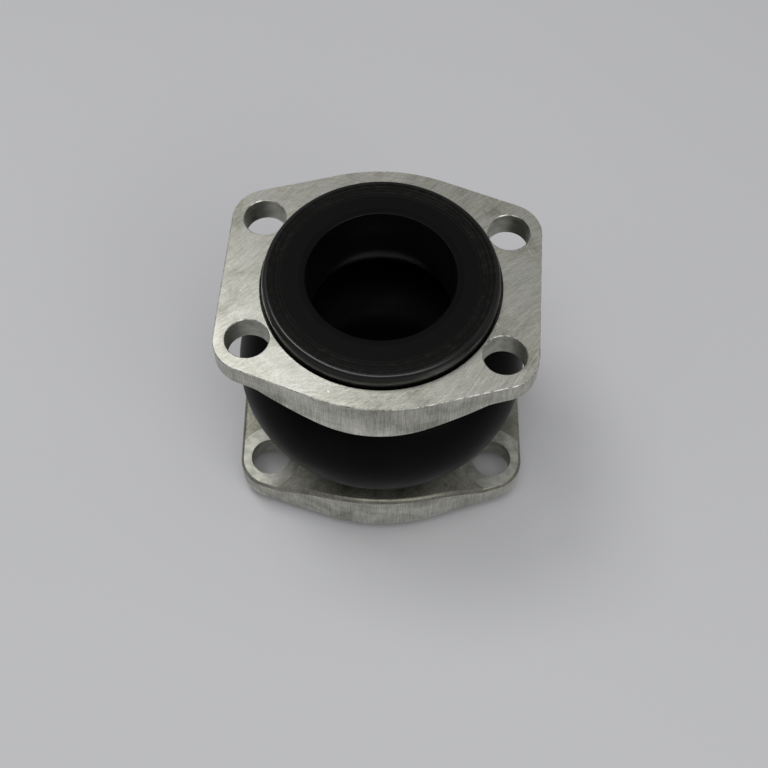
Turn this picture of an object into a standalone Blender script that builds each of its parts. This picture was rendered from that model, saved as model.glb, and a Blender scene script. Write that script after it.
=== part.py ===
"""Single-arch rubber expansion joint with two loose four-bolt light-alloy flanges.

The bellows stands on its lower bead, its axis is Z and z = 0 is the lower sealing face. Its wall is laid up
from an inner tube, two cord plies and an outer cover. At each end the wall spreads over a steel core ring,
which lies in a groove of a rubber bead. A flange hangs loose behind each bead. The lower half is designed
here and the upper half is its mirror image.
"""
import math

import bmesh
import bpy
from mathutils import Matrix, Vector

MM = 0.001

# Overall
FACE_TO_FACE = 130.0        # between the two sealing faces
GAP = 0.3                   # between pieces that are bonded or in contact
SEGMENTS = 32               # round the turned rubber pieces

# Bellows wall, measured on its outer surface
NECK_RADIUS = 40.5
ARCH_RADIUS = 33.0          # of the arch's own curve
ARCH_CENTRE_RADIUS = 32.3   # from the axis to the centre of that curve
ARCH_STEPS = 5
NECK_FILLET = 5.0
COVER_WALL = 2.8
PLY_WALL = 1.1
TUBE_WALL = 2.7

# Bead
BEAD_RADIUS = 50.4
BEAD_FACE_RADIUS = 48.5
RIM_ROUND_END = 4.5         # height at which the rim's rounding reaches the full radius
BEAD_PROUD = 7.0            # sealing face in front of the flange's face
SHOULDER_OUTER = 10.4       # height of the bead's shoulder at its rim
SHOULDER_INNER = 15.4       # height of the shoulder where it meets the neck
PLY_END_BACK = 2.2          # how far the outer ply stops short of the cover's end
INNER_PLY_END = 3.0
CORE_RADIUS = 2.8
CORE_RING_RADIUS = 43.5
GROOVE_FLOOR_CHAMFER = 1.0
CORE_SIDES = 8

# Flange
FLANGE_WIDTH = 135.0
FLANGE_DEPTH = 121.0
CORNER_RADIUS = 15.7
APEX_RADIUS = 76.0          # of the rounded middle of the two long sides
PAD_THICKNESS = 12.5
RIDGE_THICKNESS = 25.0      # through the middle of the long sides
RIDGE_CURVE = 100.0         # radius that the ridge falls away with
EDGE_ROUND = 2.2
BOLT_SPACING_X = 106.4
BOLT_SPACING_Y = 61.9
BOLT_HOLE_RADIUS = 9.2
SPOTFACE_RADIUS = 15.9
SPOTFACE_DEPTH = 0.2        # below the pad, so that a washer lies flat
NECK_CLEARANCE = 0.6
RIM_CLEARANCE = 0.8
SHOULDER_CLEARANCE = 0.3
MOUTH_CHAMFER = 2.0
LOWER_TURN_DEG = 3.8        # how far the lower flange is turned on its bead


def clear_scene():
    for thing in list(bpy.data.objects):
        bpy.data.objects.remove(thing, do_unlink=True)


def material(name, colour, roughness, metallic=0.0):
    made = bpy.data.materials.new(name)
    made.use_nodes = True
    shader = made.node_tree.nodes["Principled BSDF"]
    shader.inputs["Base Color"].default_value = (*colour, 1.0)
    shader.inputs["Roughness"].default_value = roughness
    shader.inputs["Metallic"].default_value = metallic
    return made


def mesh_from(name, points, faces):
    """A closed mesh from points in millimetres, with its faces turned outwards."""
    mesh = bpy.data.meshes.new(name)
    mesh.from_pydata([Vector(p) * MM for p in points], [], faces)
    shape = bmesh.new()
    shape.from_mesh(mesh)
    bmesh.ops.recalc_face_normals(shape, faces=shape.faces)
    shape.to_mesh(mesh)
    shape.free()
    mesh.validate()
    return mesh


def turned_mesh(name, outline, segments):
    """The closed outline, a list of (radius, height), turned once round Z."""
    points, faces = [], []
    for step in range(segments):
        angle = 2 * math.pi * step / segments
        points += [(r * math.cos(angle), r * math.sin(angle), z) for r, z in outline]
    count = len(outline)
    for step in range(segments):
        here, there = step * count, (step + 1) % segments * count
        for i in range(count):
            j = (i + 1) % count
            faces.append((here + i, there + i, there + j, here + j))
    return mesh_from(name, points, faces)


def turned_solid(name, outline, segments):
    """An open outline from the bottom to the top, turned once round Z and closed by a flat face at each end."""
    points, faces = [], []
    for r, z in outline:
        for step in range(segments):
            angle = 2 * math.pi * step / segments
            points.append((r * math.cos(angle), r * math.sin(angle), z))
    for level in range(len(outline) - 1):
        for step in range(segments):
            here, there = level * segments + step, level * segments + (step + 1) % segments
            faces.append((here, there, there + segments, here + segments))
    faces.append(tuple(range(segments)))
    faces.append(tuple(range((len(outline) - 1) * segments, len(outline) * segments)))
    return mesh_from(name, points, faces)


def place(name, mesh, finish, parent=None, turn=0.0, flip=False, height=0.0, smooth=True):
    """Makes the object for one piece. A flipped piece is the lower one turned over about X."""
    piece = bpy.data.objects.new(name, mesh)
    bpy.context.collection.objects.link(piece)
    piece.data.materials.clear()
    piece.data.materials.append(finish)
    if smooth:
        piece.data.shade_smooth()
        piece.data.set_sharp_from_angle(angle=math.radians(30))
    world = (Matrix.Translation((0, 0, height * MM)) @ Matrix.Rotation(math.radians(turn), 4, "Z")
             @ Matrix.Rotation(math.pi if flip else 0.0, 4, "X"))
    piece.parent = parent
    if parent:
        piece.matrix_parent_inverse = parent.matrix_world.inverted()
    piece.matrix_world = world
    return piece


def joint_empty(name, height, parent=None):
    empty = bpy.data.objects.new(name, None)
    bpy.context.collection.objects.link(empty)
    empty.location = (0, 0, height * MM)
    bpy.context.view_layer.update()
    if parent:
        empty.parent = parent
        empty.matrix_parent_inverse = parent.matrix_world.inverted()
    bpy.context.view_layer.update()
    return empty


# The bellows wall ------------------------------------------------------------------------------

def shoulder_direction():
    run, fall = BEAD_RADIUS - NECK_RADIUS, SHOULDER_INNER - SHOULDER_OUTER
    length = math.hypot(run, fall)
    return run / length, fall / length


def shoulder_point(depth, back=0.0):
    """The point below the rim of the shoulder by depth, and back along the shoulder towards the axis."""
    across, fall = shoulder_direction()
    return (BEAD_RADIUS - back * across - depth * fall,
            SHOULDER_OUTER + back * fall - depth * across)


def shoulder_height(radius, depth):
    """The height at a radius of the line that lies below the shoulder by depth."""
    across, fall = shoulder_direction()
    r, z = shoulder_point(depth)
    return z + (r - radius) * fall / across


def half_wall(depth):
    """The neck, its fillet and the arch down from the outer surface by depth, from the neck to mid-height."""
    middle = FACE_TO_FACE / 2
    span = ARCH_RADIUS + NECK_FILLET
    offset = NECK_RADIUS + NECK_FILLET - ARCH_CENTRE_RADIUS
    fillet_r = NECK_RADIUS + NECK_FILLET
    fillet_z = middle - math.sqrt(span ** 2 - offset ** 2)
    meet = math.acos(offset / span)
    path = [(NECK_RADIUS - depth, fillet_z)]
    for share in (0.5, 1.0):
        angle = (math.pi - meet) * share + math.pi * (1 - share)
        radius = NECK_FILLET + depth
        path.append((fillet_r + radius * math.cos(angle), fillet_z + radius * math.sin(angle)))
    for step in range(1, ARCH_STEPS + 1):
        angle = -meet * (1 - step / ARCH_STEPS)
        radius = ARCH_RADIUS - depth
        path.append((ARCH_CENTRE_RADIUS + radius * math.cos(angle), middle + radius * math.sin(angle)))
    return path


def full_wall(lower_half):
    """A lower half path continued as its own mirror image above mid-height."""
    return lower_half + [(r, FACE_TO_FACE - z) for r, z in reversed(lower_half[:-1])]


def spread_side(depth, back):
    """One side of a layer that spreads over the bead's shoulder."""
    bend = (NECK_RADIUS - depth, shoulder_height(NECK_RADIUS - depth, depth))
    return full_wall([shoulder_point(depth, back), bend] + half_wall(depth))


def straight_side(depth, end):
    """One side of a layer that runs straight down inside the bead."""
    return full_wall([(NECK_RADIUS - depth, end)] + half_wall(depth))


def layer(outer_side, inner_side):
    return outer_side + inner_side[::-1]


def wall_depths():
    """The depths at which each layer begins and ends, from the outer surface inwards."""
    depths, start = {}, 0.0
    for name, wall in (("cover", COVER_WALL), ("outer_ply", PLY_WALL), ("inner_ply", PLY_WALL),
                       ("tube", TUBE_WALL)):
        depths[name] = (start, start + wall)
        start += wall + GAP
    return depths


def bead_outline(depths):
    """The moulded bead: a flat sealing face, a rounded rim, and a groove in its back for the core ring."""
    ply_bottom = depths["outer_ply"][1] + GAP
    cover_bottom = depths["cover"][1] + GAP
    inner = NECK_RADIUS - depths["inner_ply"][0] + GAP
    foot = NECK_RADIUS - depths["tube"][0] + GAP
    ply_stop = shoulder_point(depths["outer_ply"][0], PLY_END_BACK)[0] + GAP
    reach = CORE_RADIUS + GAP
    floor = core_height(depths) - reach
    groove_in, groove_out = CORE_RING_RADIUS - reach, CORE_RING_RADIUS + reach
    chamfer = GROOVE_FLOOR_CHAMFER
    return [
        (foot, 0.0),
        (BEAD_FACE_RADIUS, 0.0),
        (BEAD_FACE_RADIUS + 1.2, 1.3),
        (BEAD_RADIUS - 0.1, 3.4),
        (BEAD_RADIUS, RIM_ROUND_END),
        (BEAD_RADIUS, shoulder_height(BEAD_RADIUS, cover_bottom)),
        (ply_stop, shoulder_height(ply_stop, cover_bottom)),
        (ply_stop, shoulder_height(ply_stop, ply_bottom)),
        (groove_out, shoulder_height(groove_out, ply_bottom)),
        (groove_out, floor + chamfer),
        (groove_out - chamfer, floor),
        (groove_in + chamfer, floor),
        (groove_in, floor + chamfer),
        (groove_in, shoulder_height(groove_in, ply_bottom)),
        (inner, shoulder_height(inner, ply_bottom)),
        (inner, INNER_PLY_END - GAP),
        (foot, INNER_PLY_END - GAP),
    ]


def core_height(depths):
    """The core's centre, so that its round touches the underside of the outer ply less the gap."""
    across, _ = shoulder_direction()
    under = shoulder_height(CORE_RING_RADIUS, depths["outer_ply"][1])
    return under - (CORE_RADIUS + GAP) / across


def core_outline(depths):
    """An octagon outside which the core's round section would just fit inside."""
    centre = core_height(depths)
    turn = math.pi / CORE_SIDES
    return [(CORE_RING_RADIUS + CORE_RADIUS * math.cos(2 * turn * i + turn),
             centre + CORE_RADIUS * math.sin(2 * turn * i + turn)) for i in range(CORE_SIDES)]


# The flange, in its own frame: z = 0 is the face that bolts down and +Z is its back --------------

def outline_quarter(inset):
    """Points from the middle of the +Y side to the +X side, moved in from the edge by inset."""
    corner = (FLANGE_WIDTH / 2 - CORNER_RADIUS, BOLT_SPACING_Y / 2)
    apex = (0.0, FLANGE_DEPTH / 2 - APEX_RADIUS)
    away = math.hypot(corner[0] - apex[0], corner[1] - apex[1])
    tangent = (math.atan2(corner[1] - apex[1], corner[0] - apex[0])
               + math.acos((APEX_RADIUS - CORNER_RADIUS) / away))
    apex_radius, corner_radius = APEX_RADIUS - inset, CORNER_RADIUS - inset

    def on(centre, radius, angle):
        return centre[0] + radius * math.cos(angle), centre[1] + radius * math.sin(angle)

    points = [on(apex, apex_radius, math.pi / 2 + (tangent - math.pi / 2) * i / 4) for i in range(5)]
    start, end = points[-1], on(corner, corner_radius, tangent)
    ridge_foot = math.sqrt(RIDGE_CURVE ** 2 - (RIDGE_CURVE - RIDGE_THICKNESS + PAD_THICKNESS) ** 2)
    stops = [start[0] + (ridge_foot - start[0]) * i / 4 for i in range(1, 5)]
    for x in stops:
        share = (x - start[0]) / (end[0] - start[0])
        points.append((x, start[1] + (end[1] - start[1]) * share))
    points += [on(corner, corner_radius, tangent * (1 - i / 5)) for i in range(6)]
    return points


def back_height(x):
    """The back of the flange: a ridge across the middle that falls away to flat pads."""
    drop = RIDGE_CURVE - math.sqrt(max(RIDGE_CURVE ** 2 - x * x, 0.0))
    return max(PAD_THICKNESS, RIDGE_THICKNESS - drop)


def flange_blank():
    """The solid flange before it is bored, with its back edge rounded."""
    insets = [0.0, 0.0, EDGE_ROUND * 0.3, EDGE_ROUND]
    drops = [None] + [EDGE_ROUND - math.sqrt(EDGE_ROUND ** 2 - (EDGE_ROUND - d) ** 2) for d in insets[1:]]
    rings = []
    for inset, drop in zip(insets, drops):
        quarter = outline_quarter(inset)
        half = [(-x, y) for x, y in reversed(quarter[1:])] + quarter
        loop = half + [(x, -y) for x, y in reversed(half)]
        rings.append([(x, y, 0.0 if drop is None else back_height(x) - drop) for x, y in loop])
    points = [p for ring in rings for p in ring]
    count = len(rings[0])
    faces = []
    for ring in range(len(rings) - 1):
        for i in range(count):
            j = (i + 1) % count
            low, high = ring * count, (ring + 1) * count
            faces.append((low + i, low + j, high + j, high + i))
    top = (len(rings) - 1) * count
    for base in (0, top):
        for i in range(count // 2 - 1):
            faces.append((base + i, base + i + 1, base + count - 2 - i, base + count - 1 - i))
    return mesh_from("flange_blank", points, faces)


def seat_outline():
    """What is bored out of the flange: a recess for the bead, a shoulder, and a hole for the neck."""
    hole = NECK_RADIUS + NECK_CLEARANCE
    rim = BEAD_RADIUS + RIM_CLEARANCE
    outer = shoulder_height(rim, -SHOULDER_CLEARANCE) - BEAD_PROUD
    inner = shoulder_height(hole, -SHOULDER_CLEARANCE) - BEAD_PROUD
    top = RIDGE_THICKNESS
    mouth = hole + MOUTH_CHAMFER
    return [(rim, -5.0), (rim, outer), (hole, inner), (hole, top - MOUTH_CHAMFER),
            (mouth + 3.0, top + 3.0)]


def bolt_cutter_outline():
    pad = PAD_THICKNESS - SPOTFACE_DEPTH
    above = RIDGE_THICKNESS + 5.0
    return [(BOLT_HOLE_RADIUS, -5.0), (BOLT_HOLE_RADIUS, pad), (SPOTFACE_RADIUS, pad), (SPOTFACE_RADIUS, above)]


def flange_mesh():
    """The bored flange, worked out once and used for both flanges."""
    blank = bpy.data.objects.new("blank", flange_blank())
    cutters = [bpy.data.objects.new("seat_cutter", turned_solid("seat_cutter", seat_outline(), 64))]
    for x in (-BOLT_SPACING_X / 2, BOLT_SPACING_X / 2):
        for y in (-BOLT_SPACING_Y / 2, BOLT_SPACING_Y / 2):
            cutter = bpy.data.objects.new("bolt_cutter", turned_solid("bolt_cutter", bolt_cutter_outline(), 32))
            cutter.location = (x * MM, y * MM, 0)
            cutters.append(cutter)
    for thing in [blank] + cutters:
        bpy.context.collection.objects.link(thing)
    for cutter in cutters:
        cut = blank.modifiers.new(cutter.name, "BOOLEAN")
        cut.operation = "DIFFERENCE"
        cut.object = cutter
    bpy.context.view_layer.update()
    finished = bpy.data.meshes.new_from_object(blank.evaluated_get(bpy.context.evaluated_depsgraph_get()))
    for thing in [blank] + cutters:
        bpy.data.objects.remove(thing, do_unlink=True)
    return finished


def build():
    clear_scene()
    alloy = material("sawn_light_alloy", (0.62, 0.62, 0.58), 0.38, 1.0)
    cover_rubber = material("cover_rubber", (0.012, 0.012, 0.013), 0.35)
    tube_rubber = material("tube_rubber", (0.014, 0.013, 0.012), 0.45)
    bead_rubber = material("bead_rubber", (0.016, 0.015, 0.014), 0.6)
    cord = material("rubberised_cord", (0.10, 0.09, 0.07), 0.8)
    steel = material("core_steel", (0.45, 0.42, 0.38), 0.4, 1.0)

    depths = wall_depths()
    lateral = joint_empty("lateral_joint", FACE_TO_FACE / 2)
    axial = joint_empty("axial_joint", FACE_TO_FACE / 2, lateral)
    bend = joint_empty("bend_joint", FACE_TO_FACE / 2, axial)

    sides = {
        "outer_cover": (spread_side(depths["cover"][0], 0.0), spread_side(depths["cover"][1], 0.0)),
        "outer_cord_ply": (spread_side(depths["outer_ply"][0], PLY_END_BACK),
                           spread_side(depths["outer_ply"][1], PLY_END_BACK)),
        "inner_cord_ply": (straight_side(depths["inner_ply"][0], INNER_PLY_END),
                           straight_side(depths["inner_ply"][1], INNER_PLY_END)),
        "inner_tube": (straight_side(depths["tube"][0], GAP), straight_side(depths["tube"][1], GAP)),
    }
    finishes = {"outer_cover": cover_rubber, "inner_tube": tube_rubber,
                "outer_cord_ply": cord, "inner_cord_ply": cord}
    carriers = {"outer_cover": axial, "outer_cord_ply": axial, "inner_cord_ply": lateral, "inner_tube": lateral}
    for name, (outer, inner) in sides.items():
        place(name, turned_mesh(name, layer(outer, inner), SEGMENTS), finishes[name], carriers[name])

    bead = bead_outline(depths)
    core = core_outline(depths)
    place("lower_bead", turned_mesh("lower_bead", bead, SEGMENTS), bead_rubber)
    place("lower_core_ring", turned_mesh("lower_core_ring", core, SEGMENTS), steel)
    place("upper_bead", turned_mesh("upper_bead", bead, SEGMENTS), bead_rubber, bend,
          flip=True, height=FACE_TO_FACE)
    place("upper_core_ring", turned_mesh("upper_core_ring", core, SEGMENTS), steel, bend,
          flip=True, height=FACE_TO_FACE)

    flange = flange_mesh()
    place("lower_flange", flange, alloy, turn=LOWER_TURN_DEG, height=BEAD_PROUD)
    place("upper_flange", flange.copy(), alloy, bend, flip=True, height=FACE_TO_FACE - BEAD_PROUD)
    bpy.context.view_layer.update()


build()
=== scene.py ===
"""Rubber expansion joint: a single-arch bellows between two loose four-bolt aluminium flanges.

The flanges, beads, core rings and the four layers of the bellows wall are made again here as fine surfaces in
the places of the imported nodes. Lengths below are millimetres, and every mesh is written in metres.
"""
import math

import bpy
import numpy as np
from mathutils import Matrix, Vector


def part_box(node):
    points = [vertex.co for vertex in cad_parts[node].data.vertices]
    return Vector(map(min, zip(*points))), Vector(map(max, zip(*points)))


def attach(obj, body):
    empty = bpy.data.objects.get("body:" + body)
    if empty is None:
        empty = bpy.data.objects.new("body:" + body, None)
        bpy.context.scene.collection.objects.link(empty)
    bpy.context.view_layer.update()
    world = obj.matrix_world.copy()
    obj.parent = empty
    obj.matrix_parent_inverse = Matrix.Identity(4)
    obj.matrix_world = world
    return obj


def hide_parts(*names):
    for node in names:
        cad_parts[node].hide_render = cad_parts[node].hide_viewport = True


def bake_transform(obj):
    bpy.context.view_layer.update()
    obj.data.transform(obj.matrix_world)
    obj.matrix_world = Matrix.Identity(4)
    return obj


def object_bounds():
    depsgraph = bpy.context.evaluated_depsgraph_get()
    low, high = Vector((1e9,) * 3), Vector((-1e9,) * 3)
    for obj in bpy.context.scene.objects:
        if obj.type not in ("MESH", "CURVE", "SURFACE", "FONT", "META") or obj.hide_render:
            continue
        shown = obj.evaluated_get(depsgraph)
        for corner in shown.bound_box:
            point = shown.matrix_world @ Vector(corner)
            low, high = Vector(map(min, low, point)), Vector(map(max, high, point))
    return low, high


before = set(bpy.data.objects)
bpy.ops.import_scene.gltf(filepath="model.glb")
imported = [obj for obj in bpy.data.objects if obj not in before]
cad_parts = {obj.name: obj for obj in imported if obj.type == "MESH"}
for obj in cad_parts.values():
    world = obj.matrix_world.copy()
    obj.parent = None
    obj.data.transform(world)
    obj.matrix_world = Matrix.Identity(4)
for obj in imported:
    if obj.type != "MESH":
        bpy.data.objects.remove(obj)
cad_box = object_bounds()

MM = 0.001
LENGTH = (cad_box[1][2] - cad_box[0][2]) / MM      # between the two sealing faces
MIDDLE = LENGTH / 2
ROUND = 144                                        # steps round a turned piece
GAP = 0.3

# Bellows wall
NECK = 40.5
ARCH = 33.0
ARCH_CENTRE = 32.3
FILLET = 5.0
DEPTHS = {"cover": (0.0, 2.8), "outer_ply": (3.1, 4.2), "inner_ply": (4.5, 5.6), "tube": (5.9, 8.6)}
# Heights of the three zones; the wall's rings meet at the lower zone's top and the upper zone's bottom
LOWER_ZONE = (33.0, 51.0)
MIDDLE_ZONE = (51.0, 77.0)
UPPER_ZONE = (77.0, 97.0)

# Bead
BEAD = 50.4
BEAD_FACE = 48.5
RIM_FROM = 48.0                                    # radius from which the bead keeps its glossy mould skin
SHOULDER_OUTER = 10.4
SHOULDER_INNER = 15.4
PLY_END_BACK = 2.2

# Bore
TUBE_END = 0.2
LIP = 0.5
THROAT = 40.0                                      # from mid-height
THROAT_SWELL = 1.3
THROAT_REACH = 11.0
INNER_PLY_END = 3.0
CORE = 2.8
CORE_RING = 43.5

# Flange
WIDTH = 135.0
DEPTH = 121.0
CORNER = 15.7
APEX = 76.0
PAD = 12.5
RIDGE = 25.0
RIDGE_CURVE = 100.0
EDGE_ROUND = 2.2
EDGE_BREAK = 0.35
BOLT_X = 106.4
BOLT_Y = 61.9
BOLT_HOLE = 9.2
SPOT_FACE = 15.9
SPOT_DEPTH = 0.2
LOWER_TURN = 3.8
PROUD = (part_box("lower_flange")[0][2] - cad_box[0][2]) / MM

LIGHTS_AIM = (0.0, 0.0, 0.06)                      # metres


# Surfaces -------------------------------------------------------------------------------------

def mesh_of(name, points, loops):
    """A mesh from an array of points in millimetres and face arrays; turned outwards if its volume is negative.

    The volume is a sixth of the sum over the faces' fan triangles of the first corner dotted with the cross
    product of the other two."""
    points = np.asarray(points, float).reshape(-1, 3)
    volume = 0.0
    for faces in loops:
        for k in range(1, faces.shape[1] - 1):
            a, b, c = points[faces[:, 0]], points[faces[:, k]], points[faces[:, k + 1]]
            volume += np.einsum("ij,ij->i", a, np.cross(b, c)).sum()
    if volume < 0:
        loops = [faces[:, ::-1] for faces in loops]
    mesh = bpy.data.meshes.new(name)
    mesh.from_pydata((points * MM).tolist(), [], [face for faces in loops for face in faces.tolist()])
    mesh.validate()
    mesh.shade_smooth()
    mesh.set_sharp_from_angle(angle=math.radians(32))
    return mesh


def face_centres(mesh):
    """The middle of every face, in millimetres."""
    centres = np.empty(len(mesh.polygons) * 3)
    mesh.polygons.foreach_get("center", centres)
    return centres.reshape(-1, 3) / MM


def grid_faces(rows, columns, close_rows, close_columns):
    """Quads of a grid whose point (i, j) is number i * columns + j, joined round where it is closed."""
    i = np.arange(rows if close_rows else rows - 1)[:, None]
    j = np.arange(columns if close_columns else columns - 1)[None, :]
    low, high = i * columns, (i + 1) % rows * columns
    right = (j + 1) % columns
    return np.stack(np.broadcast_arrays(low + j, low + right, high + right, high + j), -1).reshape(-1, 4)


def turned(name, outline, around=ROUND):
    """A closed outline turned once round Z: point (u, v) is (r(v) cos u, r(v) sin u, z(v))."""
    outline = np.asarray(outline, float)
    u = np.arange(around)[:, None] * 2 * np.pi / around
    r, z = outline[:, 0][None, :], outline[:, 1][None, :]
    points = np.stack([r * np.cos(u), r * np.sin(u), z + 0 * u], -1)
    return mesh_of(name, points, [grid_faces(around, len(outline), True, True)])


def plug(name, outline, at=(0.0, 0.0), around=96):
    """An open outline from bottom to top turned once round a vertical line, with a flat face at each end."""
    outline = np.asarray(outline, float)
    u = np.arange(around)[None, :] * 2 * np.pi / around
    r, z = outline[:, 0][:, None], outline[:, 1][:, None]
    points = np.stack([at[0] + r * np.cos(u), at[1] + r * np.sin(u), z + 0 * u], -1)
    last = (len(outline) - 1) * around
    ends = np.stack([np.arange(around)[::-1], last + np.arange(around)])
    return mesh_of(name, points, [grid_faces(len(outline), around, False, True), ends])


def piece(name, mesh, finish, slot, *nodes):
    """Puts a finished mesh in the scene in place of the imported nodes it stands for."""
    made = bpy.data.objects.new(name, mesh)
    bpy.context.collection.objects.link(made)
    mesh.materials.clear()
    mesh.materials.append(finish)
    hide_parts(*nodes)
    return made


def arc(centre, radius, start, end, count):
    """Points on a circle: centre plus radius times (cos t, sin t), t going evenly from start to end."""
    t = np.linspace(start, end, count)
    return np.stack([centre[0] + radius * np.cos(t), centre[1] + radius * np.sin(t)], -1)


# The bellows wall -----------------------------------------------------------------------------

def shoulder(depth, back=0.0):
    """The point under the rim of the sloping shoulder by depth, and back along the slope by back."""
    run, fall = BEAD - NECK, SHOULDER_INNER - SHOULDER_OUTER
    across, down = run / math.hypot(run, fall), fall / math.hypot(run, fall)
    return BEAD - back * across - depth * down, SHOULDER_OUTER + back * down - depth * across


def shoulder_height(radius, depth):
    """Height at a radius of the line that lies under the shoulder by depth."""
    r, z = shoulder(depth)
    return z + (r - radius) * (SHOULDER_INNER - SHOULDER_OUTER) / (BEAD - NECK)


def half_path(depth, foot):
    """From the foot up to mid-height: the neck is a straight line, its fillet an arc of radius fillet plus depth
    round the outside, and the arch an arc of radius arch minus depth round its centre, meeting at a tangent."""
    offset = NECK + FILLET - ARCH_CENTRE
    span = ARCH + FILLET
    fillet_centre = (NECK + FILLET, MIDDLE - math.sqrt(span ** 2 - offset ** 2))
    meet = math.acos(offset / span)
    start = foot[-1][1]
    neck_z = np.linspace(start, fillet_centre[1], 12)[1:]
    neck = np.stack([np.full(len(neck_z), NECK - depth), neck_z], -1)
    fillet = arc(fillet_centre, FILLET + depth, math.pi, math.pi - meet, 14)[1:]
    arch = arc((ARCH_CENTRE, MIDDLE), ARCH - depth, -meet, 0.0, 44)[1:]
    return np.concatenate([np.array(foot, float), neck, fillet, arch])


def full_path(depth, foot):
    """The half path followed by its own mirror image above mid-height."""
    half = half_path(depth, foot)
    back = half[:-1][::-1]
    return np.concatenate([half, np.stack([back[:, 0], LENGTH - back[:, 1]], -1)])


def stretch(path, low, high):
    """The part of a path between two heights, with a point put in exactly at each."""
    r = np.interp([low, high], path[:, 1], path[:, 0])
    inside = path[(path[:, 1] > low + 1e-6) & (path[:, 1] < high - 1e-6)]
    below = [(r[0], low)] if low > path[0, 1] else np.empty((0, 2))
    above = [(r[1], high)] if high < path[-1, 1] else np.empty((0, 2))
    return np.concatenate([below, inside, above])


def spread_foot(depth, back):
    """A layer that spreads over the bead's shoulder starts at the rim and turns up into the neck."""
    corner = np.array((NECK - depth, shoulder_height(NECK - depth, depth)))
    start = np.array(shoulder(depth, back))
    share = np.linspace(0.0, 1.0, 8)[:, None]
    return (start + (corner - start) * share).tolist()


def straight_foot(depth, end):
    """A layer that runs straight down inside the bead."""
    return [(NECK - depth, end)]


def throat(path):
    """The bore swells inwards a little above and below the arch: the radius less the swell times a raised cosine,
    (1 + cos(pi x)) / 2, where x is the distance along Z from the throat's height over its reach, up to 1."""
    x = np.clip(np.abs(np.abs(path[:, 1] - MIDDLE) - THROAT) / THROAT_REACH, 0.0, 1.0)
    return np.stack([path[:, 0] - THROAT_SWELL * (1 + np.cos(np.pi * x)) / 2, path[:, 1]], -1)


def lipped_foot(depth, end):
    """The bore's edge: a quarter circle from the end face up into the straight bore."""
    return arc((NECK - depth + LIP, end + LIP), LIP, -math.pi / 2, -math.pi, 7).tolist()


def layer(name, outer, inner, finishes, slot, node):
    """One layer of the wall in three closed rings, each over one zone of height.
    A ring's outline goes up the layer's outer path and down its inner path. The first finish is for the walls of
    the upper ring, and the last for its end face and for the two rings below."""
    zones = (("lower", -1.0, LOWER_ZONE[1], "lower_end", "wall_lateral", LOWER_ZONE),
             ("middle", LOWER_ZONE[1], UPPER_ZONE[0], "wall_lateral", "wall_axial", MIDDLE_ZONE),
             ("upper", UPPER_ZONE[0], LENGTH + 1.0, "wall_axial", "upper_end", UPPER_ZONE))
    for part, low, high, below, above, zone in zones:
        outline = np.concatenate([stretch(outer, low, high), stretch(inner, low, high)[::-1]])
        skin = finishes[0] if part == "upper" else finishes[-1]
        ring = piece(f"{name}_{part}", turned(f"{name}_{part}", outline), skin, slot, node)
        if skin is not finishes[-1]:
            ring.data.materials.append(finishes[-1])
            on_end = face_centres(ring.data)[:, 2] > LENGTH - TUBE_END - LIP * 0.3
            ring.data.polygons.foreach_set("material_index", on_end.astype(np.int32))
        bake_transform(ring)


# The bead and its core ------------------------------------------------------------------------

def core_height():
    """Height of the core's centre, so that its round section touches the underside of the outer ply less the gap."""
    under = shoulder_height(CORE_RING, DEPTHS["outer_ply"][1])
    run, fall = BEAD - NECK, SHOULDER_INNER - SHOULDER_OUTER
    return under - (CORE + GAP) * math.hypot(run, fall) / run


def bead_outline():
    """Sealing face with moulded rings, a rim that swells out and back in, and a groove for the core behind.

    A moulded ring is a raised cosine: height h (1 + cos(pi x / w)) / 2 over x from -w to w."""
    ply_low = DEPTHS["outer_ply"][1] + GAP
    cover_low = DEPTHS["cover"][1] + GAP
    foot = NECK - DEPTHS["tube"][0] + 0.03
    inner = NECK - DEPTHS["inner_ply"][0] + GAP
    stop = shoulder(DEPTHS["outer_ply"][0], PLY_END_BACK)[0] + GAP
    reach = CORE + GAP
    floor = core_height() - reach
    r = np.linspace(foot, BEAD_FACE - 0.5, 150)
    sink = 0.0 * r + 0.18
    for centre, half_width, height in ((41.9, 0.5, 0.10), (43.3, 0.45, 0.16), (44.9, 0.45, 0.16), (46.4, 0.4, 0.14)):
        x = np.clip((r - centre) / half_width, -1, 1)
        sink -= height * (1 + np.cos(np.pi * x)) / 2
    sink[r > 47.3] = 0.0
    face = np.stack([r, sink], -1)
    t = np.linspace(0.0, 1.0, 16)
    rim = np.stack([BEAD_FACE + (BEAD - BEAD_FACE) * np.sin(t * math.pi / 2) ** 0.9,
                    4.5 * (1 - np.cos(t * math.pi / 2))], -1)
    groove = arc((CORE_RING, floor + reach), reach, 0.0, -math.pi, 25)
    back = [(BEAD, shoulder_height(BEAD, cover_low)), (stop, shoulder_height(stop, cover_low)),
            (stop, shoulder_height(stop, ply_low)), (CORE_RING + reach, shoulder_height(CORE_RING + reach, ply_low))]
    tail = [(CORE_RING - reach, shoulder_height(CORE_RING - reach, ply_low)), (inner, shoulder_height(inner, ply_low)),
            (inner, INNER_PLY_END - GAP), (foot, INNER_PLY_END - GAP)]
    return np.concatenate([face, rim, back, groove, tail])


def core_outline():
    """The wound steel core: a circle whose radius ripples by a few hundredths with the strands that make it."""
    t = np.arange(48) * 2 * np.pi / 48
    r = CORE - 0.12 * (1 - np.abs(np.cos(t * 6)))
    return np.stack([CORE_RING + r * np.cos(t), core_height() + r * np.sin(t)], -1)


def mirrored(outline):
    """The same outline at the other end."""
    outline = np.asarray(outline, float)
    return np.stack([outline[:, 0], LENGTH - outline[:, 1]], -1)[::-1]


# The flange: z = 0 is the face that bolts down and +Z is its back -------------------------------

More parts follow.
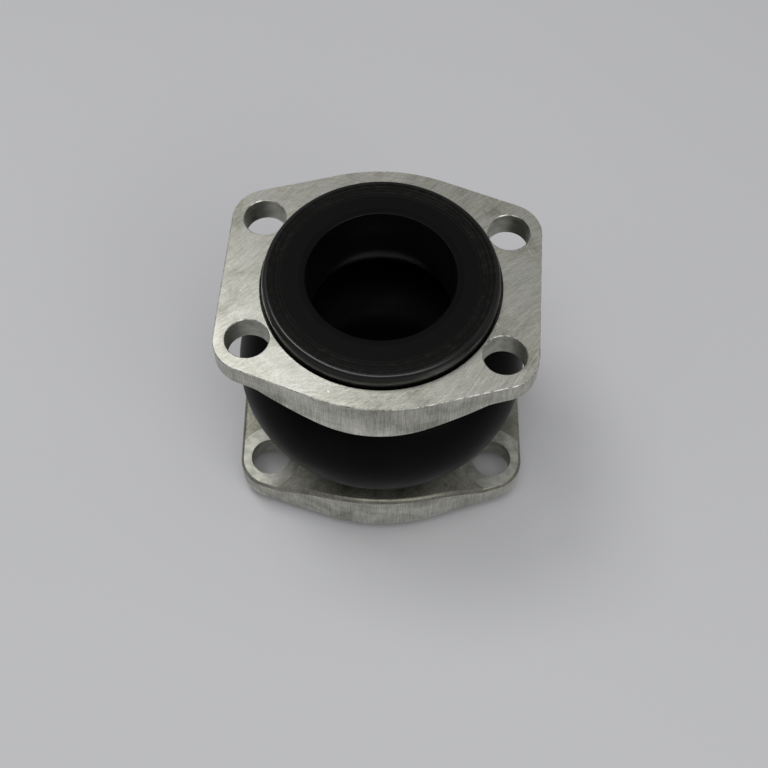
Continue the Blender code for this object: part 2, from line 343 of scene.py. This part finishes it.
def flange_edge(inset):
    """The outline moved in by inset: arcs round the long sides' middles, straight flanks, and arcs round the corners,
    each meeting the next at a tangent."""
    corner = np.array((WIDTH / 2 - CORNER, BOLT_Y / 2))
    apex = np.array((0.0, DEPTH / 2 - APEX))
    away = np.hypot(*(corner - apex))
    tangent = math.atan2(*(corner - apex)[::-1]) + math.acos((APEX - CORNER) / away)
    top = arc(apex, APEX - inset, math.pi / 2, tangent, 14)
    bend = arc(corner, CORNER - inset, tangent, 0.0, 18)
    flank = top[-1] + (bend[0] - top[-1]) * np.linspace(0, 1, 16)[1:-1, None]
    quarter = np.concatenate([top, flank, bend])
    half = np.concatenate([quarter[1:][::-1] * (-1, 1), quarter])
    return np.concatenate([half, half[::-1] * (1, -1)])


def back_height(x):
    """The ridge: the top of a circle of radius 100 across the middle, where it stands above the flat pads."""
    drop = RIDGE_CURVE - np.sqrt(np.maximum(RIDGE_CURVE ** 2 - x * x, 0.0))
    return np.maximum(PAD, RIDGE - drop)


def flange_blank():
    """The unbored flange: its edge profile carried round the outline. The profile is a small break at the face, a
    straight side, and a quarter circle into the back, whose height follows the ridge."""
    t = np.linspace(0.0, math.pi / 2, 8)
    profile = [(EDGE_BREAK, 0.0, 0), (0.0, EDGE_BREAK, 0)]
    profile += [(EDGE_ROUND * (1 - math.cos(a)), EDGE_ROUND * (math.sin(a) - 1), 1) for a in t]
    rings = []
    for inset, rise, on_back in profile:
        edge = flange_edge(inset)
        z = (back_height(edge[:, 0]) if on_back else 0.0) + rise
        rings.append(np.stack([edge[:, 0], edge[:, 1], z + 0 * edge[:, 0]], -1))
    points = np.stack(rings)
    count = points.shape[1]
    sides = grid_faces(len(rings), count, False, True)
    i = np.arange(count // 2 - 1)
    strips = np.stack([i, i + 1, count - 2 - i, count - 1 - i], -1)
    last = (len(rings) - 1) * count
    return mesh_of("blank", points, [sides, strips[:, ::-1], last + strips])


def flange(name, node, slot_name, finishes, body, flip, turn):
    """The blank less a bead seat and four bolt holes with spot faces, set at its end and turned on the bead. The
    finishes are the dressed faces and sides, the bored walls and spot faces, the cast back with its painted shade and
    the rubbed edge with its painted highlight."""
    hole, rim = NECK + 0.6, BEAD + 0.8
    seat = [(rim + 0.35, -5.0), (rim + 0.35, 0.0), (rim, 0.35), (rim, shoulder_height(rim, -0.3) - PROUD),
            (hole, shoulder_height(hole, -0.3) - PROUD), (hole, RIDGE - 2.0), (hole + 5.0, RIDGE + 3.0)]
    pad = PAD - SPOT_DEPTH
    bolt = [(BOLT_HOLE + EDGE_BREAK, -5.0), (BOLT_HOLE + EDGE_BREAK, 0.0), (BOLT_HOLE, EDGE_BREAK),
            (BOLT_HOLE, pad), (SPOT_FACE, pad), (SPOT_FACE, RIDGE + 5.0)]
    blank = bpy.data.objects.new("blank", flange_blank())
    cutters = [bpy.data.objects.new("seat_cutter", plug("seat_cutter", seat, around=ROUND))]
    cutters += [bpy.data.objects.new("bolt_cutter", plug("bolt_cutter", bolt, (x, y), 64))
                for x in (-BOLT_X / 2, BOLT_X / 2) for y in (-BOLT_Y / 2, BOLT_Y / 2)]
    for thing in [blank] + cutters:
        bpy.context.collection.objects.link(thing)
    for cutter in cutters:
        cut = blank.modifiers.new("bore", "BOOLEAN")
        cut.operation = "DIFFERENCE"
        cut.object = cutter
    bpy.context.view_layer.update()
    mesh = bpy.data.meshes.new_from_object(blank.evaluated_get(bpy.context.evaluated_depsgraph_get()))
    for thing in [blank] + cutters:
        bpy.data.objects.remove(thing, do_unlink=True)
    mesh.name = name
    centres = face_centres(mesh)
    facing = np.empty(len(mesh.polygons) * 3)
    mesh.polygons.foreach_get("normal", facing)
    facing = facing.reshape(-1, 3)
    from_bolt = np.hypot(np.abs(centres[:, 0]) - BOLT_X / 2, np.abs(centres[:, 1]) - BOLT_Y / 2)
    from_axis = np.hypot(centres[:, 0], centres[:, 1])
    bored = (np.abs(facing[:, 2]) < 0.9) & ((from_bolt < BOLT_HOLE + 0.1) | (from_axis < BEAD + 1.0))
    bored |= (np.abs(centres[:, 2] - PAD + SPOT_DEPTH) < 0.01) & (facing[:, 2] > 0.9)
    # the break at the face edge: rubbed bare aluminium with a painted highlight
    edge = (np.abs(facing[:, 2] + 0.7) < 0.25) & (centres[:, 2] < EDGE_BREAK)
    # faces toward the back take the darker cast finish, which is partly painted shade
    finish_index = np.select([edge, bored, facing[:, 2] > 0.15], [3, 1, 2], 0).astype(np.int32)
    height = (LENGTH - PROUD if flip else PROUD) * MM
    mesh.transform(Matrix.Translation((0, 0, height)) @ Matrix.Rotation(math.radians(turn), 4, "Z")
                   @ Matrix.Rotation(math.pi if flip else 0.0, 4, "X"))
    mesh.shade_smooth()
    mesh.set_sharp_from_angle(angle=math.radians(25))
    made = piece(name, mesh, finishes[0], slot_name, node)
    for other in finishes[1:]:
        mesh.materials.append(other)
    mesh.polygons.foreach_set("material_index", finish_index)
    weigh = made.modifiers.new("even_shading", "WEIGHTED_NORMAL")
    weigh.keep_sharp = True
    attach(made, body)
    return made


# Finishes -------------------------------------------------------------------------------------

def colour(code):
    """An sRGB hex colour as linear red, green, blue and 1."""
    c = np.array([int(code[i:i + 2], 16) for i in (1, 3, 5)]) / 255
    return (*np.where(c <= 0.04045, c / 12.92, ((c + 0.055) / 1.055) ** 2.4), 1.0)


def add(tree, kind, inputs=(), **settings):
    """Adds a node; a setting is set on the node, and an input is linked if it is a socket and set if it is a value."""
    made = tree.nodes.new(kind)
    for name, value in settings.items():
        setattr(made, name, value)
    for name, value in dict(inputs).items():
        if isinstance(value, bpy.types.NodeSocket):
            tree.links.new(value, made.inputs[name])
        else:
            made.inputs[name].default_value = value
    return made


def ramp(tree, value, *stops):
    """A colour ramp through (place, grey or hex colour) stops."""
    made = add(tree, "ShaderNodeValToRGB", {"Fac": value})
    while len(made.color_ramp.elements) < len(stops):
        made.color_ramp.elements.new(0.5)
    for element, (place, shade) in zip(made.color_ramp.elements, stops):
        element.position = place
        element.color = colour(shade) if isinstance(shade, str) else (shade, shade, shade, 1.0)
    return made.outputs["Color"]


def finish(name):
    """A new material, its node tree, its shader and the Object coordinates that its patterns lie on."""
    made = bpy.data.materials.new(name)
    made.use_nodes = True
    tree = made.node_tree
    return made, tree, tree.nodes["Principled BSDF"], add(tree, "ShaderNodeTexCoord").outputs["Object"]


def connect(tree, shader, **sockets):
    """Links or sets the shader's sockets, whose names are written with _ for a space."""
    for name, value in sockets.items():
        socket = shader.inputs[name.replace("_", " ")]
        if isinstance(value, bpy.types.NodeSocket):
            tree.links.new(value, socket)
        else:
            socket.default_value = value


def sawn_aluminium():
    """Cast aluminium, saw-cut on the sides and dressed with an abrasive disc on the faces: the eye gets a soft
    grey metal with long crossing arcs on the flats, upright saw lines on the sides, and a dull, handled mottle."""
    made, tree, shader, place = finish("sawn_aluminium")
    normal = add(tree, "ShaderNodeNewGeometry").outputs["Normal"]
    up = add(tree, "ShaderNodeMath", {0: add(tree, "ShaderNodeSeparateXYZ", {0: normal}).outputs["Z"]},
             operation="ABSOLUTE").outputs[0]
    flat = add(tree, "ShaderNodeMapRange", {"Value": up, "From Min": 0.6, "From Max": 0.95}).outputs[0]
    # saw lines on the sides, about 0.5 mm apart and 10 to 20 mm high
    lines_at = add(tree, "ShaderNodeMapping", {"Vector": place, "Scale": (1900, 1900, 70)}).outputs[0]
    lines = add(tree, "ShaderNodeTexNoise", {"Vector": lines_at, "Scale": 1.0, "Detail": 4.0,
                                             "Roughness": 0.7}).outputs[0]
    # disc marks on the faces: sets of long scratches, 0.5 to 1 mm apart, bent into arcs and crossing
    sway = add(tree, "ShaderNodeTexNoise", {"Vector": place, "Scale": 9.0, "Detail": 1.0}).outputs["Color"]

    def marks(angle, across, along, bend):
        arcs = add(tree, "ShaderNodeVectorMath", {0: sway, 3: bend}, operation="SCALE").outputs[0]
        bent = add(tree, "ShaderNodeVectorMath", {0: place, 1: arcs}, operation="ADD").outputs[0]
        turned_to = add(tree, "ShaderNodeMapping", {"Vector": bent, "Rotation": (0, 0, math.radians(angle)),
                                                    "Scale": (1 / along, 1 / across, 1 / along)},
                        vector_type="TEXTURE").outputs[0]
        return add(tree, "ShaderNodeTexNoise", {"Vector": turned_to, "Scale": 1.0, "Detail": 4.0,
                                                "Roughness": 0.65}).outputs[0]

    first, second = marks(48, 2200, 70, 0.05), marks(20, 1500, 90, 0.07)
    scratches = add(tree, "ShaderNodeMix", {0: 0.4, 2: first, 3: second}).outputs[0]
    grain = add(tree, "ShaderNodeMix", {0: flat, 2: lines, 3: scratches}).outputs[0]
    # dull handling marks, 10 to 25 mm across, and specks of scale under a millimetre
    mottle = add(tree, "ShaderNodeTexNoise", {"Vector": place, "Scale": 42.0, "Detail": 6.0, "Roughness": 0.62,
                                              "Distortion": 0.8}).outputs[0]
    specks = add(tree, "ShaderNodeTexNoise", {"Vector": place, "Scale": 1100.0, "Detail": 2.0}).outputs[0]
    blend = add(tree, "ShaderNodeMix", {0: 0.55, 2: grain, 3: mottle}).outputs[0]
    blend = add(tree, "ShaderNodeMix", {0: 0.10, 2: blend, 3: specks}).outputs[0]
    tone = ramp(tree, blend, (0.36, "#78786F"), (0.46, "#A5A49A"), (0.54, "#C2C1B8"), (0.64, "#E4E3DB"))
    # a few deep bright strokes 5 to 10 mm long where the face was knocked
    strokes = ramp(tree, marks(-58, 900, 160, 0.03), (0.68, 0.0), (0.72, 1.0))
    tone = add(tree, "ShaderNodeMix", {0: strokes, 6: tone, 7: colour("#F2F1EA")}, data_type="RGBA").outputs[2]
    rough = ramp(tree, mottle, (0.38, 0.42), (0.62, 0.29))
    bump = add(tree, "ShaderNodeBump", {"Strength": 0.55, "Distance": 0.00016, "Height": grain}).outputs[0]
    connect(tree, shader, Metallic=1.0, Base_Color=tone, Roughness=rough, Normal=bump)
    return made


def cast_aluminium_painted_shade():
    """The flange's undressed back: as-cast aluminium, darker and duller, with a sandy skin and random stains. Its
    darker tone is partly the cast skin and partly painted shade for the lower flange's back under the upper flange and
    the bulge.
    """
    made, tree, shader, place = finish("cast_aluminium_painted_shade")
    stain = add(tree, "ShaderNodeTexNoise", {"Vector": place, "Scale": 70.0, "Detail": 6.0,
                                             "Roughness": 0.65}).outputs[0]
    sand = add(tree, "ShaderNodeTexNoise", {"Vector": place, "Scale": 900.0, "Detail": 4.0,
                                            "Roughness": 0.6}).outputs[0]
    level = add(tree, "ShaderNodeMix", {0: 0.35, 2: stain, 3: sand}).outputs[0]
    # darker than the dressed faces: partly the cast skin, partly painted shade
    tone = ramp(tree, level, (0.36, "#66655A"), (0.5, "#86857A"), (0.64, "#A09F95"))
    bump = add(tree, "ShaderNodeBump", {"Strength": 0.6, "Distance": 0.0002, "Height": level}).outputs[0]
    connect(tree, shader, Metallic=1.0, Base_Color=tone, Roughness=0.46, Normal=bump)
    return made


def bored_aluminium():
    """The same aluminium where a drill or boring bar cut it: smoother and darker, with faint rings round the bore."""
    made, tree, shader, place = finish("bored_aluminium")
    rings_at = add(tree, "ShaderNodeMapping", {"Vector": place, "Scale": (60, 60, 1800)}).outputs[0]
    rings = add(tree, "ShaderNodeTexNoise", {"Vector": rings_at, "Scale": 1.0, "Detail": 3.0}).outputs[0]
    mottle = add(tree, "ShaderNodeTexNoise", {"Vector": place, "Scale": 260.0, "Detail": 5.0}).outputs[0]
    level = add(tree, "ShaderNodeMix", {0: 0.6, 2: rings, 3: mottle}).outputs[0]
    tone = ramp(tree, level, (0.35, "#8C8C84"), (0.6, "#B9B9B0"))
    bump = add(tree, "ShaderNodeBump", {"Strength": 0.3, "Distance": 0.0001, "Height": level}).outputs[0]
    connect(tree, shader, Metallic=1.0, Base_Color=tone, Roughness=0.55, Normal=bump)
    return made


def rubbed_edge_painted_highlight():
    """The sawn edge where the burr was rubbed off: a thin, brighter and broken line of bare aluminium, whose
    brightness is partly a painted highlight along the edge break.
    """
    made, tree, shader, place = finish("rubbed_aluminium_edge_painted_highlight")
    nicks = add(tree, "ShaderNodeTexNoise", {"Vector": place, "Scale": 500.0, "Detail": 4.0,
                                             "Roughness": 0.7}).outputs[0]
    # bright tone: partly bare rubbed metal, partly a painted highlight along the edge
    tone = ramp(tree, nicks, (0.38, "#85857B"), (0.5, "#D2D1C8"), (0.62, "#F0EFE8"))
    bump = add(tree, "ShaderNodeBump", {"Strength": 0.6, "Distance": 0.0002, "Height": nicks}).outputs[0]
    connect(tree, shader, Metallic=1.0, Base_Color=tone, Roughness=0.4, Normal=bump)
    return made


def moulded_rubber(name, shade, low, high, grain_mm, bump_mm, gloss):
    """Moulded synthetic rubber: near black, with a satin skin that takes soft reflections and a fine pebbled
    unevenness from the mould and the wrapping."""
    made, tree, shader, place = finish(name)
    cloud = add(tree, "ShaderNodeTexNoise", {"Vector": place, "Scale": 60.0, "Detail": 4.0}).outputs[0]
    fine = add(tree, "ShaderNodeTexNoise", {"Vector": place, "Scale": 1000.0 / grain_mm, "Detail": 3.0}).outputs[0]
    tone = ramp(tree, cloud, (0.3, shade[0]), (0.7, shade[1]))
    rough = ramp(tree, cloud, (0.3, low), (0.7, high))
    bump = add(tree, "ShaderNodeBump", {"Strength": 0.5, "Distance": bump_mm * MM, "Height": fine}).outputs[0]
    connect(tree, shader, Base_Color=tone, Roughness=rough, Normal=bump, IOR=1.5, Specular_IOR_Level=gloss)
    return made


def bead_rubber():
    """Moulded rubber bead, buffed on its sealing face: a flat, matt near black with fine lighter rings on the outer
    part of the face.
    """
    made, tree, shader, place = finish("buffed_bead_rubber")
    parts = add(tree, "ShaderNodeSeparateXYZ", {0: place})
    flat = add(tree, "ShaderNodeCombineXYZ", {"X": parts.outputs["X"], "Y": parts.outputs["Y"]}).outputs[0]
    radius = add(tree, "ShaderNodeVectorMath", {0: flat}, operation="LENGTH").outputs["Value"]
    dust = add(tree, "ShaderNodeTexNoise", {"Vector": place, "Scale": 420.0, "Detail": 6.0,
                                            "Roughness": 0.75}).outputs[0]
    # rings a few tenths of a millimetre wide, only on the outer part of the face
    rings_at = add(tree, "ShaderNodeCombineXYZ", {"X": radius}).outputs[0]
    rings = add(tree, "ShaderNodeTexNoise", {"Vector": rings_at, "Scale": 1500.0, "Detail": 2.0}).outputs[0]
    outside = add(tree, "ShaderNodeMapRange", {"Value": radius, "From Min": 0.0405, "From Max": 0.0425}).outputs[0]
    lifted = add(tree, "ShaderNodeMath", {0: rings, 1: outside}, operation="MULTIPLY").outputs[0]
    level = add(tree, "ShaderNodeMix", {0: 0.45, 2: dust, 3: lifted}).outputs[0]
    tone = ramp(tree, level, (0.25, "#070707"), (0.5, "#0C0C0B"), (0.62, "#1D1D1B"))
    rough = ramp(tree, dust, (0.35, 0.5), (0.7, 0.64))
    bump = add(tree, "ShaderNodeBump", {"Strength": 0.4, "Distance": 0.00008, "Height": level}).outputs[0]
    connect(tree, shader, Base_Color=tone, Roughness=rough, Normal=bump, IOR=1.5, Specular_IOR_Level=0.06)
    return made


def cord_fabric():
    """Rubberised nylon tyre cord laid on the bias: dark tan cords about 1 mm apart, crossing, dulled by the rubber
    between them."""
    made, tree, shader, place = finish("rubberised_nylon_cord")
    parts = add(tree, "ShaderNodeSeparateXYZ", {0: place})
    turn = add(tree, "ShaderNodeMath", {0: parts.outputs["Y"], 1: parts.outputs["X"]}, operation="ARCTAN2").outputs[0]
    # 240 cords round the neck and their slope up the wall
    around = add(tree, "ShaderNodeMath", {0: turn, 1: 120.0}, operation="MULTIPLY").outputs[0]
    rise = add(tree, "ShaderNodeMath", {0: parts.outputs["Z"], 1: 2900.0}, operation="MULTIPLY").outputs[0]

    def strands(operation):
        phase = add(tree, "ShaderNodeMath", {0: around, 1: rise}, operation=operation).outputs[0]
        return add(tree, "ShaderNodeMath", {0: phase}, operation="SINE").outputs[0]

    weave = add(tree, "ShaderNodeMath", {0: strands("ADD"), 1: strands("SUBTRACT")}, operation="MAXIMUM").outputs[0]
    level = add(tree, "ShaderNodeMapRange", {"Value": weave, "From Min": -1.0, "From Max": 1.0}).outputs[0]
    tone = ramp(tree, level, (0.2, "#1C1A17"), (0.9, "#5E5443"))
    bump = add(tree, "ShaderNodeBump", {"Strength": 0.6, "Distance": 0.0002, "Height": level}).outputs[0]
    connect(tree, shader, Base_Color=tone, Roughness=0.75, Normal=bump)
    return made


def core_steel():
    """Bright drawn steel wire, wound and bronzed for bonding: a warm grey metal with fine lines along the winding."""
    made, tree, shader, place = finish("drawn_core_wire")
    fine = add(tree, "ShaderNodeTexNoise", {"Vector": place, "Scale": 900.0, "Detail": 3.0}).outputs[0]
    tone = ramp(tree, fine, (0.3, "#8A7B62"), (0.7, "#B5A789"))
    bump = add(tree, "ShaderNodeBump", {"Strength": 0.3, "Distance": 0.0001, "Height": fine}).outputs[0]
    connect(tree, shader, Metallic=1.0, Base_Color=tone, Roughness=0.38, Normal=bump)
    return made


def paper():
    """Pale grey seamless paper: flat and matt, with a very slight cloudiness."""
    made, tree, shader, place = finish("seamless_paper")
    cloud = add(tree, "ShaderNodeTexNoise", {"Vector": place, "Scale": 2.5, "Detail": 1.0}).outputs[0]
    tone = ramp(tree, cloud, (0.3, "#B7B7B9"), (0.7, "#BABABC"))
    connect(tree, shader, Base_Color=tone, Roughness=0.9)
    return made


# Make the pieces ------------------------------------------------------------------------------

alloy = sawn_aluminium()
bored_alloy = bored_aluminium()
cast_shaded_alloy = cast_aluminium_painted_shade()
edge_highlight_alloy = rubbed_edge_painted_highlight()
cover_skin = moulded_rubber("satin_cover_rubber", ("#060606", "#0A0A09"), 0.32, 0.44, 0.7, 0.05, 0.05)
tube_skin = moulded_rubber("smooth_tube_rubber", ("#050505", "#080808"), 0.28, 0.36, 0.9, 0.03, 0.6)
# dust lies in the arch and the lower bore, and dulls the same rubber there and on its buffed end
dusty_skin = moulded_rubber("dusty_tube_rubber", ("#050505", "#080808"), 0.50, 0.62, 0.9, 0.04, 0.05)
bead_skin = bead_rubber()
rim_skin = moulded_rubber("glossy_rim_rubber", ("#050505", "#080808"), 0.20, 0.30, 0.8, 0.03, 0.4)
cord = cord_fabric()
steel = core_steel()

for end, flip, turn in (("lower", False, LOWER_TURN), ("upper", True, 0.0)):
    flange(f"{end}_flange_casting", f"{end}_flange", "alloy", (alloy, bored_alloy, cast_shaded_alloy, edge_highlight_alloy),
           f"{end}_flange_body", flip, turn)

for name, finishes, slot_name, node, foot, end in (
        ("cover", (cover_skin,), "cover_rubber", "outer_cover", spread_foot, 0.0),
        ("outer_ply", (cord,), "cord", "outer_cord_ply", spread_foot, PLY_END_BACK),
        ("inner_ply", (cord,), "cord", "inner_cord_ply", straight_foot, INNER_PLY_END),
        ("tube", (tube_skin, dusty_skin), "tube_rubber", "inner_tube", straight_foot, TUBE_END)):
    outer_depth, inner_depth = DEPTHS[name]
    outer_path = full_path(outer_depth, foot(outer_depth, end))
    if name == "tube":
        inner_path = throat(full_path(inner_depth, lipped_foot(inner_depth, end)))
    else:
        inner_path = full_path(inner_depth, foot(inner_depth, end))
    layer(name, outer_path, inner_path, finishes, slot_name, node)

for end, outline_of in (("lower", lambda o: o), ("upper", mirrored)):
    bead = piece(f"{end}_bead_moulding", turned(f"{end}_bead_moulding", outline_of(bead_outline())), bead_skin,
                 "bead_rubber", f"{end}_bead")
    bead.data.materials.append(rim_skin)
    spots = face_centres(bead.data)
    on_rim = np.hypot(spots[:, 0], spots[:, 1]) > RIM_FROM
    bead.data.polygons.foreach_set("material_index", on_rim.astype(np.int32))
    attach(bead, f"{end}_end")
    core = piece(f"{end}_core_winding", turned(f"{end}_core_winding", outline_of(core_outline())), steel,
                 "core_steel", f"{end}_core_ring")
    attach(core, f"{end}_end")

# Floor, light and camera ----------------------------------------------------------------------

floor_mesh = bpy.data.meshes.new("paper_floor")
floor_mesh.from_pydata([(-4, -4, 0), (4, -4, 0), (4, 4, 0), (-4, 4, 0)], [], [(0, 1, 2, 3)])
floor = bpy.data.objects.new("paper_floor", floor_mesh)
floor.location.z = cad_box[0][2] - 0.0002
bpy.context.collection.objects.link(floor)
floor_mesh.materials.append(paper())


def lamp(name, at, size, watts):
    """A round soft lamp that points at the middle of the object."""
    light = bpy.data.lights.new(name, "AREA")
    light.shape = "DISK"
    light.size = size
    light.energy = watts
    holder = bpy.data.objects.new(name, light)
    bpy.context.collection.objects.link(holder)
    holder.location = at
    holder.rotation_euler = (Vector(LIGHTS_AIM) - Vector(at)).to_track_quat("-Z", "Y").to_euler()


lamp("key_softbox", (-0.42, 0.28, 1.30), 0.5, 5.0)
lamp("overhead_softbox", (0.0, -0.35, 1.6), 1.2, 11.5)
lamp("fill_softbox", (0.9, -0.9, 1.2), 1.0, 4.4)

world = bpy.data.worlds.new("studio")
bpy.context.scene.world = world
world.use_nodes = True
world.node_tree.nodes["Background"].inputs["Color"].default_value = colour("#E6E7E8")
world.node_tree.nodes["Background"].inputs["Strength"].default_value = 0.4

target = Vector((0.0048, -0.04821, 0.123))
azimuth, elevation, distance = math.radians(4.31), math.radians(60.7), 0.50099
away = Vector((math.sin(azimuth) * math.cos(elevation), -math.cos(azimuth) * math.cos(elevation),
               math.sin(elevation)))
lens = bpy.data.cameras.new("camera")
lens.sensor_width = 36.0
lens.lens = 58.245
lens.clip_start, lens.clip_end = 0.01, 50.0
camera = bpy.data.objects.new("camera", lens)
bpy.context.collection.objects.link(camera)
right = (-away).cross(Vector((0, 0, 1))).normalized()
camera.matrix_world = Matrix.Translation(target + away * distance) @ Matrix(
    (right, away.cross(right), away)).transposed().to_4x4()
bpy.context.scene.camera = camera
bpy.context.scene.view_settings.view_transform = "Standard"
